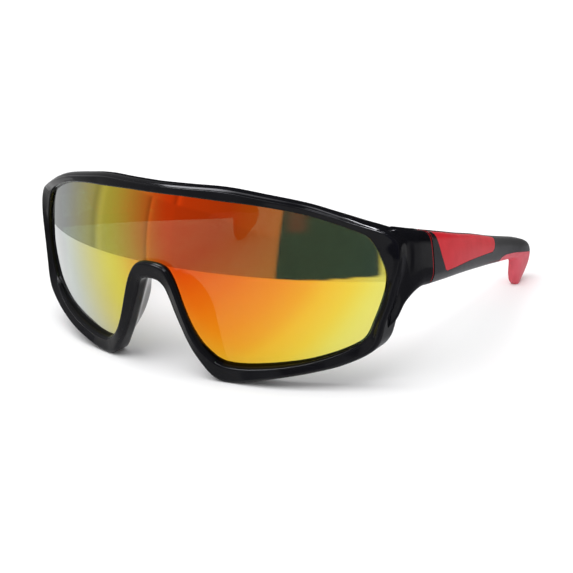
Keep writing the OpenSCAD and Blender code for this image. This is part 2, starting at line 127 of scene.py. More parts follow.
def make(name, verts, faces):
    """A mesh object from points in mm, with its faces turned outwards."""
    v = np.array(verts, float)
    v = (v - [0, ORIGIN_Y, LIFT]) / 1000
    me = bpy.data.meshes.new(name)
    me.from_pydata(v.tolist(), [], [list(map(int, f)) for f in faces])
    o = bpy.data.objects.new(name, me)
    bpy.context.scene.collection.objects.link(o)
    bm = bmesh.new()
    bm.from_mesh(me)
    bmesh.ops.recalc_face_normals(bm, faces=bm.faces)
    bm.to_mesh(me)
    bm.free()
    return o


def skin(name, rings, wrap=False):
    rings = np.asarray(rings, float)
    n, m = rings.shape[:2]
    faces = []
    for i in range(n if wrap else n - 1):
        k = (i + 1) % n
        for j in range(m):
            l = (j + 1) % m
            faces.append([i * m + j, i * m + l, k * m + l, k * m + j])
    if not wrap:
        faces += [list(range(m - 1, -1, -1)), [(n - 1) * m + j for j in range(m)]]
    return make(name, rings.reshape(-1, 3), faces)


def prism(name, poly, x0, x1):
    n = len(poly)
    v = [[x0, y, z] for y, z in poly] + [[x1, y, z] for y, z in poly]
    f = [list(range(n)), list(range(2 * n - 1, n - 1, -1))] + [[i, (i + 1) % n, n + (i + 1) % n, n + i] for i in range(n)]
    return make(name, v, f)


def slab(name, lo, hi):
    return prism(name, [[lo[1], lo[2]], [hi[1], lo[2]], [hi[1], hi[2]], [lo[1], hi[2]]], lo[0], hi[0])


def tube(name, base, axis, r, h, n=48):
    """Closed cylinder used only for cutting: base point and axis 'x' or 'z', mm."""
    rings = []
    for t in (0, h):
        ring = []
        for k in range(n):
            a = 2 * math.pi * k / n
            c, s = r * math.cos(a), r * math.sin(a)
            ring.append([base[0] + t, base[1] + c, base[2] + s] if axis == "x" else [base[0] + c, base[1] + s, base[2] + t])
        rings.append(ring)
    return skin(name, rings)


def combine(a, b, op, keep=False, solver="MANIFOLD"):
    """Boolean of two closed meshes; the result replaces a's mesh, and b goes unless keep."""
    mod = a.modifiers.new("cut", "BOOLEAN")
    mod.operation = op
    mod.solver = solver
    mod.object = b
    deps = bpy.context.evaluated_depsgraph_get()
    deps.update()
    me = bpy.data.meshes.new_from_object(a.evaluated_get(deps))
    if len(me.vertices) == 0:
        print("EMPTY BOOLEAN", a.name, b.name, op)
    a.modifiers.clear()
    old = a.data
    a.data = me
    bpy.data.meshes.remove(old)
    if not keep:
        bpy.data.objects.remove(b)
    return a


def coords(o):
    co = np.zeros(len(o.data.vertices) * 3)
    o.data.vertices.foreach_get("co", co)
    return co.reshape(-1, 3) * 1000 + [0, ORIGIN_Y, LIFT]


def put(o, co):
    o.data.vertices.foreach_set("co", ((co - [0, ORIGIN_Y, LIFT]) / 1000).ravel())
    o.data.update()


def fillet(o, before, radius, rounds, guard):
    """Melts the line where two bodies were joined: points near it are evened out, the rest stays."""
    bm = bmesh.new()
    bm.from_mesh(o.data)
    tree = KDTree(len(before))
    for i, p in enumerate(before):
        tree.insert(p, i)
    tree.balance()
    bm.verts.ensure_lookup_table()
    fresh = []
    for v in bm.verts:
        q = v.co * 1000 + Vector((0, ORIGIN_Y, LIFT))
        if tree.find(q)[2] > 0.004:
            fresh.append(v)
    seam = [v.co * 1000 + Vector((0, ORIGIN_Y, LIFT)) for v in fresh]
    bmesh.ops.remove_doubles(bm, verts=fresh, dist=0.00010)
    bmesh.ops.triangulate(bm, faces=[f for f in bm.faces if len(f.verts) > 4])
    bm.to_mesh(o.data)
    bm.free()
    near = KDTree(len(seam))
    for i, p in enumerate(seam):
        near.insert(p, i)
    near.balance()
    co = coords(o)
    w = np.zeros(len(co))
    g = guard(co)
    for i in np.nonzero(g > 0)[0]:
        d = near.find(co[i])[2]
        if d is not None and d < radius:
            w[i] = 1 - smoothstep(0.35 * radius, radius, d)
    w = w * g
    e = np.zeros(len(o.data.edges) * 2, int)
    o.data.edges.foreach_get("vertices", e)
    e = e.reshape(-1, 2)
    keep = (w[e[:, 0]] > 0) | (w[e[:, 1]] > 0)
    e = e[keep]
    count = np.zeros(len(co))
    np.add.at(count, e[:, 0], 1)
    np.add.at(count, e[:, 1], 1)
    count[count == 0] = 1
    for _ in range(rounds):
        s = np.zeros_like(co)
        np.add.at(s, e[:, 0], co[e[:, 1]])
        np.add.at(s, e[:, 1], co[e[:, 0]])
        co = co + (w * 0.6)[:, None] * np.where(w[:, None] > 0, s / count[:, None] - co, 0)
    put(o, co)
    return o


def soften(o, angle=32.0, bevel=0.0):
    """Smooth shading with real edges kept, and a small bevel on them where asked."""
    if bevel:
        mod = o.modifiers.new("edge", "BEVEL")
        mod.width = bevel / 1000
        mod.segments = 2
        mod.limit_method = "ANGLE"
        mod.angle_limit = math.radians(38)
        mod.harden_normals = False
        mod.use_clamp_overlap = True
        deps = bpy.context.evaluated_depsgraph_get()
        deps.update()
        me = bpy.data.meshes.new_from_object(o.evaluated_get(deps))
        o.modifiers.clear()
        old = o.data
        o.data = me
        bpy.data.meshes.remove(old)
    bm = bmesh.new()
    bm.from_mesh(o.data)
    bmesh.ops.remove_doubles(bm, verts=bm.verts, dist=0.000004)
    for f in bm.faces:
        f.smooth = True
    lim = math.radians(angle)
    for e in bm.edges:
        e.smooth = len(e.link_faces) == 2 and e.calc_face_angle(0.0) < lim
    bm.to_mesh(o.data)
    bm.free()
    return o


def mirrored(o, name):
    me = o.data.copy()
    me.transform(Matrix.Diagonal((-1, 1, 1, 1)))
    me.flip_normals()
    c = bpy.data.objects.new(name, me)
    bpy.context.scene.collection.objects.link(c)
    return c


# ------------------------------------------------------------------ the outline and the rim's section
HALF = curve(RIM, 10)
flip = HALF[-2:0:-1].copy()
flip[:, [0, 2]] *= -1
OUT = np.vstack([HALF, flip])


def sy(x, z, e):
    return FACE_R - math.sqrt((FACE_R + e) ** 2 - x * x - (z - FACE_CZ) ** 2)


def ly(x, z, e):
    return LENS_CY - math.sqrt((LENS_R + e) ** 2 - x * x - (z - LENS_CZ) ** 2)


def rim_ring(p):
    o, u = np.array([p[0], p[1]]), np.array([p[2], p[3]])
    w = (u - o) / np.linalg.norm(u - o)
    s, b, a, e, dep, c, f = p[4], p[5], p[6], p[7], p[8], p[9] * BROW_CROWN, p[10]
    L = np.linalg.norm(u - o)

    def on(d, h):
        q = o + w * d
        return [q[0], sy(q[0], q[1], h), q[1]]

    def lon(d, h):
        q = o + w * d
        return [q[0], ly(q[0], q[1], h), q[1]]

    def lip(d, share):
        """Between the lens surface and the front face, share of the way up."""
        lo, hi = np.array(lon(d, 0)), np.array(on(d, a))
        return (lo + (hi - lo) * share).tolist()

    def wall(d, k):
        q = u - w * d
        return [q[0], sy(u[0], u[1], e) + k, q[1]]

    def inner(d, k):
        q = o + w * d
        return [q[0], ly(q[0], q[1], -LENS_T) + k, q[1]]

    ring = [lon(0, FIT), lip(0.01, 0.10), lip(0.10 * b, 0.32), lip(0.22 * b, 0.54), lip(0.42 * b, 0.76),
            lip(0.68 * b, 0.91), lip(0.9 * b, 0.98), on(1.12 * b, a)]
    # front face, from the inner bevel to the rounded shoulder
    w0, w1 = 1.12 * b, L - s
    for t in (0.2, 0.4, 0.6, 0.8):
        ring.append(on(w0 + (w1 - w0) * t, a + (e - a) * t))
    for k in range(9):
        t = math.radians(90 * k / 8)
        ring.append(on(L - s * (1 - math.sin(t)), e - 1.1 * s * (1 - math.cos(t))) if k < 8 else wall(0, 1.1 * s))
    # outer wall: a soft swell over the brow that falls away to the back, straight elsewhere, rounded into the back
    k0, k1 = 1.1 * s, dep - 0.62
    back = [(0, k0), (-0.5 * c, k0 + 0.30 * (2 - k0)), (-0.85 * c, k0 + 0.64 * (2 - k0)), (-c, 2.05)]
    back += [(-c + (c + f) * g * g, 2.05 + (k1 - 2.05) * g) for g in (0.38, 0.7, 1.0)]
    body = curve([[d, k] for d, k in back], 2)[1:]
    ring += [wall(d, k) for d, k in body]
    for t in (25, 50, 72, 90):
        r = math.radians(t)
        ring.append(wall(f + 0.55 * (1 - math.cos(r)), dep - 0.6 + 0.6 * math.sin(r)))
    p1, p2 = np.array(wall(f + 0.75, dep)), np.array(inner(0.6, RIM_BEHIND))
    for t in (0.33, 0.66):
        ring.append((p1 + (p2 - p1) * t).tolist())
    for t in (0, 30, 60, 90):
        r = math.radians(t)
        ring.append(inner(0.5 * (1 - math.sin(r)), RIM_BEHIND - 0.5 * (1 - math.cos(r))))
    ring += [inner(0, FIT), lon(LENS_LAP + FIT, -LENS_T - FIT), lon(LENS_LAP + FIT, FIT)]
    return ring


def d_section(crisp):
    """Closed D-shaped section; crisp keeps the ridge low on the outside as an edge."""
    soft = closed_curve(DSEC, 4)
    if crisp <= 0:
        return soft
    ring = np.vstack([DSEC[5:], DSEC[:6]])
    hard = curve(ring, 4)[:-1]
    hard = np.roll(hard, 5 * 4, axis=0)
    return soft + (hard - soft) * crisp


def d_ring(s, sec):
    s = np.asarray(s, float)
    q = np.asarray(sec, float)
    return np.stack([s[0] + q[:, 0] * (s[1] - s[0]), s[4] + q[:, 1] * (s[2] - s[4]),
                     s[5] + q[:, 1] * (s[3] - s[5]) - s[6] * q[:, 0]], 1)


def core_section(s):
    t, h = s[1] - s[0], math.hypot(s[2] - s[4], s[3] - s[5])
    out = []
    for q in DSEC:
        if q[0] > 0.45 and q[1] > 0.03:
            out.append([min(q[0], max(0.4, q[0] - INLAY_D / t)), q[1] - 0.9 / h if q[1] > 0.9 else q[1]])
        else:
            out.append(q)
    return closed_curve(out, 2)


def inset(poly, d):
    """Polygon moved inwards by d."""
    p = np.asarray(poly, float)
    n = len(p)
    area = sum(p[i][0] * p[(i + 1) % n][1] - p[(i + 1) % n][0] * p[i][1] for i in range(n))
    sgn = 1 if area > 0 else -1
    out = []
    for i in range(n):
        a, b, c = p[i - 1], p[i], p[(i + 1) % n]
        n1 = np.array([-(b - a)[1], (b - a)[0]]) / np.linalg.norm(b - a) * sgn
        n2 = np.array([-(c - b)[1], (c - b)[0]]) / np.linalg.norm(c - b) * sgn
        m = n1 + n2
        m = m / max(np.dot(m, n1), 0.3) if np.linalg.norm(m) > 0 else n1
        out.append(b + m * d)
    return np.array(out)


# ------------------------------------------------------------------ the front, one moulding
front = skin("front", [rim_ring(p) for p in OUT], wrap=True)


def pad_ring(v):
    a, b = v[:3], v[3:6]
    d = (b - a) / np.linalg.norm(b - a)
    t = np.array([d[1], -d[0], 0.25])
    t = t / np.linalg.norm(t) * PAD_T
    pts = [a, a + (b - a) * 0.5, b - d * 0.6, b + t * 0.06 - d * 0.1, b + t * 0.3, b + t * 0.62, b + t * 0.9 - d * 0.22,
           b + t - d * 0.9, a + (b - a) * 0.45 + t, a + t - d * 0.6, a - d * 0.5 + t * 0.5]
    return closed_curve(pts, 4)


before = [coords(front)]
for side in (1, -1):
    pad = curve([r[0] + r[1] for r in PAD], 9)[::-1]
    end = curve(END, 12)[::-1]
    for extra in (skin("ends", [d_ring(s, d_section(0)) for s in end]), skin("pad", [pad_ring(v) for v in pad])):
        if side < 0:
            extra.data.transform(Matrix.Diagonal((-1, 1, 1, 1)))
            extra.data.flip_normals()
        before.append(coords(extra))
        combine(front, extra, "UNION")
before = np.vstack(before)
for radius, guard in (
        (2.6, lambda c: smoothstep(23.6, 25.6, c[:, 1]) * (1 - smoothstep(33.2, 34.2, c[:, 1]))
         * (1 - smoothstep(40, 42, c[:, 2]))),
        (1.3, lambda c: smoothstep(1.2, 2.4, c[:, 1]) * (np.abs(c[:, 0]) < 30))):
    fillet(front, before, radius, 40, guard)

# pockets of the hinges and the flat feet, cut in one go
cutter = slab("c", [-100, -20, -10], [100, 170, LIFT])
for side in (1, -1):
    cuts = [tube("c", [HINGE_X, SEAM_Y, HINGE_Z - 1.2], "z", KNUCKLE_R + 0.35, HINGE_H + 2.4),
            slab("c", [HINGE_X - 3, 28.9 - FIT, HINGE_Z - FIT], [HINGE_X + KNUCKLE_R + FIT, SEAM_Y + 0.1, HINGE_Z + HINGE_H + FIT]),
            slab("c", [60, SEAM_Y - SEAM_GAP, 20], [72, SEAM_Y + 2, 50])]
    cuts += [tube("c", [HINGE_X + KNUCKLE_R - 0.2, 30.9, HINGE_Z + 2 + 4 * k], "x", 0.55, 2.9, 32) for k in (0, 1)]
    for c in cuts:
        if side < 0:
            c.data.transform(Matrix.Diagonal((-1, 1, 1, 1)))
            c.data.flip_normals()
        combine(cutter, c, "UNION")
combine(front, cutter, "DIFFERENCE", solver="EXACT")
soften(front, 34)

# ------------------------------------------------------------------ the lens
loop = []
for p in OUT[::2]:
    o, u = np.array([p[0], p[1]]), np.array([p[2], p[3]])
    loop.append(o + (u - o) / np.linalg.norm(u - o) * LENS_LAP)
loop = np.array(loop)
n_loop = len(loop)
grid = [(x, z) for x in np.arange(-63, 63.1, 1.5) for z in np.arange(5, 55, 1.5)]
seg_a, seg_b = loop, np.roll(loop, -1, axis=0)


def inside(q):
    x, z = q
    c = ((seg_a[:, 1] > z) != (seg_b[:, 1] > z))
    with np.errstate(divide="ignore", invalid="ignore"):
        xx = seg_a[:, 0] + (z - seg_a[:, 1]) * (seg_b[:, 0] - seg_a[:, 0]) / (seg_b[:, 1] - seg_a[:, 1])
    if int((c & (x < xx)).sum()) % 2 == 0:
        return False
    ab = seg_b - seg_a
    t = np.clip(((q - seg_a) * ab).sum(1) / (ab ** 2).sum(1), 0, 1)
    return np.linalg.norm(seg_a + t[:, None] * ab - q, axis=1).min() > 0.6


pts2 = [Vector(v) for v in loop] + [Vector(g) for g in grid if inside(np.array(g))]
res = delaunay_2d_cdt(pts2, [(i, (i + 1) % n_loop) for i in range(n_loop)], [list(range(n_loop))], 1, 1e-6)
pv, pf = res[0], res[2]
outline = [i for i, src in enumerate(res[3]) if any(k < n_loop for k in src)]
order = {}
for i, src in enumerate(res[3]):
    for k in src:
        if k < n_loop:
            order[k] = i
ring_ids = [order[k] for k in range(n_loop)]
nv = len(pv)
BEV = 0.12
verts = [[v[0], ly(v[0], v[1], 0), v[1]] for v in pv] + [[v[0], ly(v[0], v[1], -LENS_T), v[1]] for v in pv]
faces = [list(f) for f in pf] + [[nv + i for i in reversed(f)] for f in pf]
n_front = len(pf)
for k in range(n_loop):
    a, b = ring_ids[k], ring_ids[(k + 1) % n_loop]
    faces.append([a, b, nv + b, nv + a])
lens = make("lens", verts, faces)
me = lens.data
centre = Vector((0, (LENS_CY - ORIGIN_Y) / 1000, (LENS_CZ - LIFT) / 1000))
for f in me.polygons:
    f.use_smooth = True
normals = []
for f in me.polygons:
    for li in f.loop_indices:
        v = me.vertices[me.loops[li].vertex_index].co
        if f.index < n_front:
            normals.append((v - centre).normalized())
        elif f.index < 2 * n_front:
            normals.append((centre - v).normalized())
        else:
            normals.append(f.normal.copy())
me.normals_split_custom_set(normals)

# ------------------------------------------------------------------ one temple, then its mirror image
arm_curve = curve(ARM, 8)


def crispness(y):
    return float(smoothstep(36, 46, y) * (1 - smoothstep(108, 122, y)))


arm = skin("arm", [d_ring(s, d_section(crispness(s[2]))) for s in arm_curve])
whole = skin("whole", [d_ring(s, d_section(crispness(s[2]))) for s in arm_curve])
tip = skin("tip", [d_ring(s, d_section(crispness(s[2]))) for s in arm_curve])
core = skin("core", [d_ring(s, core_section(s)) for s in arm_curve[:72]])


def box_ring(s, g):
    def pt(a, b):
        return np.array([s[0] + a * (s[1] - s[0]), s[4] + b * (s[2] - s[4]), s[5] + b * (s[3] - s[5])])
    return [pt(0, 0) + [-g, 0, -g], pt(1, 0) + [g, 0, -g], pt(1, 1) + [g, 0, g], pt(0, 1) + [-g, 0, g]]


def peg(g):
    return skin("peg", [box_ring(s, g) for s in curve(PEG, 4)])


cutter = prism("cutter", INLAY, 62, 75)
combine(cutter, core, "DIFFERENCE", keep=True)
combine(arm, cutter, "DIFFERENCE")
combine(arm, prism("t", TIP, 50, 75), "DIFFERENCE")
combine(arm, peg(0), "UNION")
for c in [tube("c", [HINGE_X, SEAM_Y, HINGE_Z - 1.2], "z", KNUCKLE_R + 0.35, HINGE_H + 2.4),
          slab("c", [HINGE_X - 3, SEAM_Y - 0.2, HINGE_Z - FIT], [HINGE_X + KNUCKLE_R + FIT, 43.6 + FIT, HINGE_Z + HINGE_H + FIT])] + \
        [tube("c", [HINGE_X + KNUCKLE_R - 0.2, 40.8, HINGE_Z + 2 + 4 * k], "x", 0.55, 2.9, 32) for k in (0, 1)]:
    combine(arm, c, "DIFFERENCE")
soften(arm, 30)

inlay = whole
combine(inlay, prism("i", inset(INLAY, 0.09), 62, 75), "INTERSECT")
combine(inlay, core, "DIFFERENCE")
soften(inlay, 24, bevel=0.1)

combine(tip, prism("t", inset(TIP, 0.05), 50, 75), "INTERSECT")
combine(tip, peg(FIT), "DIFFERENCE")
combine(tip, slab("c", [-100, -20, -10], [100, 170, LIFT]), "DIFFERENCE")
soften(tip, 34, bevel=0.12)

# the finer curve swings out a little at the rear end: drawn in to the length of the CAD part
for o in (arm, tip):
    co = coords(o)
    far = co[:, 1] > 135
    co[far, 1] = 135 + (co[far, 1] - 135) * 0.89
    put(o, co)

# the collar: two fine beads with a shallow channel between them
rings = []
for y, g in ((35.02, 0.18), (35.06, 0.07), (35.16, 0.0), (35.30, 0.0), (35.40, 0.06), (35.48, 0.20), (35.55, 0.27),
             (36.03, 0.27), (36.10, 0.20), (36.18, 0.06), (36.28, 0.0), (36.42, 0.0), (36.52, 0.07), (36.57, 0.18)):
    k = (y - SEAM_Y) / 1.6
    s = [63.6 + g, 69.29 - 0.06 * k - g, y, 42.5 - 0.3 * k - g, y, 27.3 - 0.12 * k + g, 0]
    rings.append(d_ring(s, closed_curve(DSEC, 4)))
collar = skin("collar", rings)
combine(collar, tube("c", [HINGE_X, SEAM_Y, HINGE_Z - 1.2], "z", KNUCKLE_R + 0.35, HINGE_H + 2.4), "DIFFERENCE")
combine(collar, slab("c", [HINGE_X - 3, SEAM_Y - 0.2, HINGE_Z - FIT], [HINGE_X + KNUCKLE_R + FIT, SEAM_Y + 3, HINGE_Z + HINGE_H + FIT]), "DIFFERENCE")
soften(collar, 40)

# ------------------------------------------------------------------ materials
def principled(name):
    m = bpy.data.materials.new(name)
    m.use_nodes = True
    nt = m.node_tree
    return m, nt, nt.nodes["Principled BSDF"]


def node(nt, kind, **sets):
    n = nt.nodes.new(kind)
    for k, v in sets.items():
        if hasattr(n, k):
            setattr(n, k, v)
        else:
            n.inputs[k].default_value = v
    return n


def noise(nt, scale, detail=2.0, rough=0.5, stretch=None):
    tc = nt.nodes.new("ShaderNodeTexCoord")
    n = node(nt, "ShaderNodeTexNoise")
    n.inputs["Scale"].default_value = scale
    n.inputs["Detail"].default_value = detail
    n.inputs["Roughness"].default_value = rough
    src = tc.outputs["Object"]
    if stretch:
        mp = node(nt, "ShaderNodeMapping")
        mp.inputs["Scale"].default_value = stretch
        nt.links.new(src, mp.inputs["Vector"])
        src = mp.outputs["Vector"]
    nt.links.new(src, n.inputs["Vector"])
    return n


def ramp(nt, fac, stops, interp="LINEAR"):
    r = nt.nodes.new("ShaderNodeValToRGB")
    r.color_ramp.interpolation = interp
    els = r.color_ramp.elements
    while len(els) > 1:
        els.remove(els[-1])
    els[0].position, els[0].color = stops[0][0], tuple(stops[0][1]) + (1,)
    for pos, col in stops[1:]:
        e = els.new(pos)
        e.color = tuple(col) + (1,)
    nt.links.new(fac, r.inputs["Fac"])
    return r


def grey(v):
    return (v, v, v)


def moulded(name, c0, c1, r0, r1, wave=0.02, grain=0.0, spec=0.5):
    """Moulded plastic: slight tone and gloss variation, a faint long-wave ripple and, where asked, a fine grain."""
    m, nt, b = principled(name)
    n1 = noise(nt, 160, 3, 0.55)
    nt.links.new(ramp(nt, n1.outputs["Fac"], [(0.3, c0), (0.7, c1)]).outputs["Color"], b.inputs["Base Color"])
    n2 = noise(nt, 420, 4, 0.6)
    nt.links.new(ramp(nt, n2.outputs["Fac"], [(0.35, grey(r0)), (0.7, grey(r1))]).outputs["Color"], b.inputs["Roughness"])
    n3 = noise(nt, 90, 1, 0.4)
    bump = node(nt, "ShaderNodeBump")
    bump.inputs["Strength"].default_value = wave
    bump.inputs["Distance"].default_value = 0.0006
    nt.links.new(n3.outputs["Fac"], bump.inputs["Height"])
    last = bump
    if grain:
        n4 = noise(nt, 5200, 2, 0.6)
        b2 = node(nt, "ShaderNodeBump")
        b2.inputs["Strength"].default_value = grain
        b2.inputs["Distance"].default_value = 0.00006
        nt.links.new(n4.outputs["Fac"], b2.inputs["Height"])
        nt.links.new(bump.outputs["Normal"], b2.inputs["Normal"])
        last = b2
    nt.links.new(last.outputs["Normal"], b.inputs["Normal"])
    b.inputs["Specular IOR Level"].default_value = spec
    return m


m_black = moulded("gloss_black", (0.0040, 0.0040, 0.0052), (0.0062, 0.0062, 0.0080), 0.07, 0.13, spec=0.11)
m_arm = moulded("arm_black", (0.0060, 0.0058, 0.0075), (0.0090, 0.0087, 0.0110), 0.16, 0.26, spec=0.14)
m_inlay = moulded("inlay_red", (0.57, 0.0140, 0.0240), (0.65, 0.0190, 0.0310), 0.20, 0.27, wave=0.004, spec=0.11)
m_collar = moulded("collar_red", (0.22, 0.004, 0.007), (0.30, 0.006, 0.010), 0.16, 0.26, spec=0.2)
m_tip = moulded("tip_rubber", (0.64, 0.075, 0.105), (0.72, 0.100, 0.135), 0.36, 0.52, wave=0.02, grain=0.25, spec=0.4)


def steel(name, col, rough, stretch):
    m, nt, b = principled(name)
    b.inputs["Metallic"].default_value = 1.0
    n = noise(nt, 900, 3, 0.6, stretch)
    nt.links.new(ramp(nt, n.outputs["Fac"], [(0.3, [c * 0.88 for c in col]), (0.7, col)]).outputs["Color"], b.inputs["Base Color"])
    nt.links.new(ramp(nt, n.outputs["Fac"], [(0.3, grey(rough * 0.8)), (0.7, grey(rough * 1.25))]).outputs["Color"], b.inputs["Roughness"])
    bump = node(nt, "ShaderNodeBump")
    bump.inputs["Strength"].default_value = 0.2
    bump.inputs["Distance"].default_value = 0.00004
    nt.links.new(n.outputs["Fac"], bump.inputs["Height"])
    nt.links.new(bump.outputs["Normal"], b.inputs["Normal"])
    return m


m_leaf = steel("hinge_steel", (0.60, 0.60, 0.62), 0.30, (1, 6, 1))
m_screw = steel("screw_steel", (0.55, 0.55, 0.57), 0.24, (1, 1, 8))


def lens_front():
    """Mirror coating whose colour runs in arcs from deep orange at the top centre to pale yellow at the lower
    corners, and which shifts to yellow and then silver where it is seen at a glancing angle."""
    m, nt, b = principled("mirror_lens")
    L = nt.links
    tc = nt.nodes.new("ShaderNodeTexCoord")
    mp = node(nt, "ShaderNodeMapping")
    mp.inputs["Location"].default_value = (0, 0, -0.0542)
    L.new(tc.outputs["Object"], mp.inputs["Vector"])
    flat = node(nt, "ShaderNodeVectorMath", operation="MULTIPLY")
    flat.inputs[1].default_value = (12.5, 0, 12.5)
    L.new(mp.outputs["Vector"], flat.inputs[0])
    dist = node(nt, "ShaderNodeVectorMath", operation="LENGTH")
    L.new(flat.outputs["Vector"], dist.inputs[0])
    wob = noise(nt, 34, 2, 0.5)
    add = node(nt, "ShaderNodeMath", operation="MULTIPLY_ADD")
    add.inputs[1].default_value = 0.03
    L.new(wob.outputs["Fac"], add.inputs[0])
    L.new(dist.outputs["Value"], add.inputs[2])
    # distance of 80 mm is 1.0
    base = ramp(nt, add.outputs["Value"], [
        (0.10, (0.66, 0.045, 0.003)), (0.315, (0.63, 0.054, 0.003)), (0.46, (0.71, 0.140, 0.005)),
        (0.58, (0.76, 0.235, 0.007)), (0.65, (0.78, 0.325, 0.010)), (0.70, (0.79, 0.44, 0.020)),
        (0.765, (0.77, 0.54, 0.038)), (0.80, (0.74, 0.60, 0.070)), (0.83, (0.72, 0.64, 0.11)), (0.95, (0.70, 0.66, 0.20))])
    L.new(base.outputs["Color"], b.inputs["Base Color"])
    b.inputs["Metallic"].default_value = 1.0
    rn = noise(nt, 700, 3, 0.6)
    rr = ramp(nt, rn.outputs["Fac"], [(0.35, grey(0.018)), (0.75, grey(0.045))])
    L.new(rr.outputs["Color"], b.inputs["Roughness"])

    def lobe(cols, scale):
        p = nt.nodes.new("ShaderNodeBsdfPrincipled")
        n = noise(nt, scale, 2, 0.5)
        L.new(ramp(nt, n.outputs["Fac"], cols).outputs["Color"], p.inputs["Base Color"])
        p.inputs["Metallic"].default_value = 1.0
        L.new(rr.outputs["Color"], p.inputs["Roughness"])
        return p

    yellow = lobe([(0.3, (0.56, 0.48, 0.045)), (0.7, (0.59, 0.52, 0.065))], 30)
    silver = lobe([(0.3, (0.41, 0.43, 0.42)), (0.7, (0.44, 0.46, 0.45))], 30)
    lw = nt.nodes.new("ShaderNodeLayerWeight")
    lw.inputs["Blend"].default_value = 0.5

    def angle_factor(a, b2, v=1.0):
        r = nt.nodes.new("ShaderNodeMapRange")
        r.interpolation_type = "SMOOTHSTEP"
        r.inputs["From Min"].default_value = a
        r.inputs["From Max"].default_value = b2
        r.inputs["To Max"].default_value = v
        L.new(lw.outputs["Facing"], r.inputs["Value"])
        return r.outputs["Result"]

    mix1 = nt.nodes.new("ShaderNodeMixShader")
    L.new(angle_factor(0.18, 0.42), mix1.inputs["Fac"])
    L.new(b.outputs["BSDF"], mix1.inputs[1])
    L.new(yellow.outputs["BSDF"], mix1.inputs[2])
    mix2 = nt.nodes.new("ShaderNodeMixShader")
    L.new(angle_factor(0.39, 0.72), mix2.inputs["Fac"])
    L.new(mix1.outputs["Shader"], mix2.inputs[1])
    L.new(silver.outputs["BSDF"], mix2.inputs[2])
    clear = nt.nodes.new("ShaderNodeBsdfTransparent")
    clear.inputs["Color"].default_value = (0.40, 0.88, 0.66, 1)
    mix3 = nt.nodes.new("ShaderNodeMixShader")
    mix3.inputs["Fac"].default_value = 0.92
    L.new(clear.outputs["BSDF"], mix3.inputs[1])
    L.new(mix2.outputs["Shader"], mix3.inputs[2])
    L.new(mix3.outputs["Shader"], nt.nodes["Material Output"].inputs["Surface"])
    return m


def lens_back():
    """Back and edge of the sheet: smoky brown, half clear, glossy."""
    m, nt, b = principled("smoke_back")
    L = nt.links
    n = noise(nt, 60, 2, 0.5)
    L.new(ramp(nt, n.outputs["Fac"], [(0.3, (0.030, 0.014, 0.006)), (0.7, (0.038, 0.018, 0.008))]).outputs["Color"], b.inputs["Base Color"])
    rn = noise(nt, 700, 3, 0.6)
    L.new(ramp(nt, rn.outputs["Fac"], [(0.35, grey(0.03)), (0.75, grey(0.06))]).outputs["Color"], b.inputs["Roughness"])
    clear = nt.nodes.new("ShaderNodeBsdfTransparent")
    clear.inputs["Color"].default_value = (0.95, 0.80, 0.62, 1)
    mix = nt.nodes.new("ShaderNodeMixShader")
    mix.inputs["Fac"].default_value = 0.25
    L.new(clear.outputs["BSDF"], mix.inputs[1])
    L.new(b.outputs["BSDF"], mix.inputs[2])
    L.new(mix.outputs["Shader"], nt.nodes["Material Output"].inputs["Surface"])
    return m


def give(o, *mats):
    o.data.materials.clear()
    for m in mats:
        o.data.materials.append(m)


give(front, m_black)
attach(front, "front"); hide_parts("front_frame")
give(lens, lens_front(), lens_back())
for f in lens.data.polygons:
    f.material_index = 0 if f.index < n_front else 1
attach(lens, "front"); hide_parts("shield_lens")
for base, mat, node_name, slot_name in ((arm, m_arm, "temple_arm", "arm_black"), (inlay, m_inlay, "temple_inlay", "inlay_red"),
                                        (tip, m_tip, "temple_tip", "tip_rubber"), (collar, m_collar, "temple_collar", "collar_red")):
    kind = base.name
    other = mirrored(base, kind + "_right")
    base.name = kind + "_left"
    for o, w in ((base, "left"), (other, "right")):
        give(o, mat)
        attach(o, "temple_" + w)
        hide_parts(node_name + "_" + w)
for name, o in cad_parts.items():
    if "leaf_" in name and "screws" not in name:
        give(o, m_leaf)
    elif "screw" in name:
        give(o, m_screw)

# ------------------------------------------------------------------ floor, light, reflecting cards
def stage_mesh(name, verts, faces, mat, camera=True):
    me = bpy.data.meshes.new(name)
    me.from_pydata(verts, [], faces)
    me.materials.append(mat)
    for f in me.polygons:
        f.use_smooth = True
    o = bpy.data.objects.new(name, me)
    bpy.context.scene.collection.objects.link(o)
    if not camera:
        o.visible_camera = o.visible_diffuse = o.visible_shadow = o.visible_transmission = o.visible_volume_scatter = False
    return o


m_floor, nt, b = principled("floor")
n = noise(nt, 3, 2, 0.5)
nt.links.new(ramp(nt, n.outputs["Fac"], [(0.3, (0.90, 0.90, 0.905)), (0.7, (0.915, 0.915, 0.92))]).outputs["Color"], b.inputs["Base Color"])
b.inputs["Roughness"].default_value = 0.75
b.inputs["Specular IOR Level"].default_value = 0.0
stage_mesh("floor", [(-6, -6, 0), (6, -6, 0), (6, 6, 0), (-6, 6, 0)], [(0, 1, 2, 3)], m_floor)

world = bpy.data.worlds.new("studio")
bpy.context.scene.world = world
world.use_nodes = True
world.node_tree.nodes["Background"].inputs["Color"].default_value = (1, 1, 1, 1)
world.node_tree.nodes["Background"].inputs["Strength"].default_value = 0.61


def softbox(name, loc, target, sx, sy_, power, col=(1, 1, 1)):
    l = bpy.data.lights.new(name, "AREA")
    l.shape = "RECTANGLE"
    l.size, l.size_y = sx, sy_
    l.energy = power
    l.color = col
    o = bpy.data.objects.new(name, l)
    o.location = loc
    d = Vector(target) - Vector(loc)
    o.rotation_euler = d.to_track_quat("-Z", "Y").to_euler()
    bpy.context.scene.collection.objects.link(o)
    return o


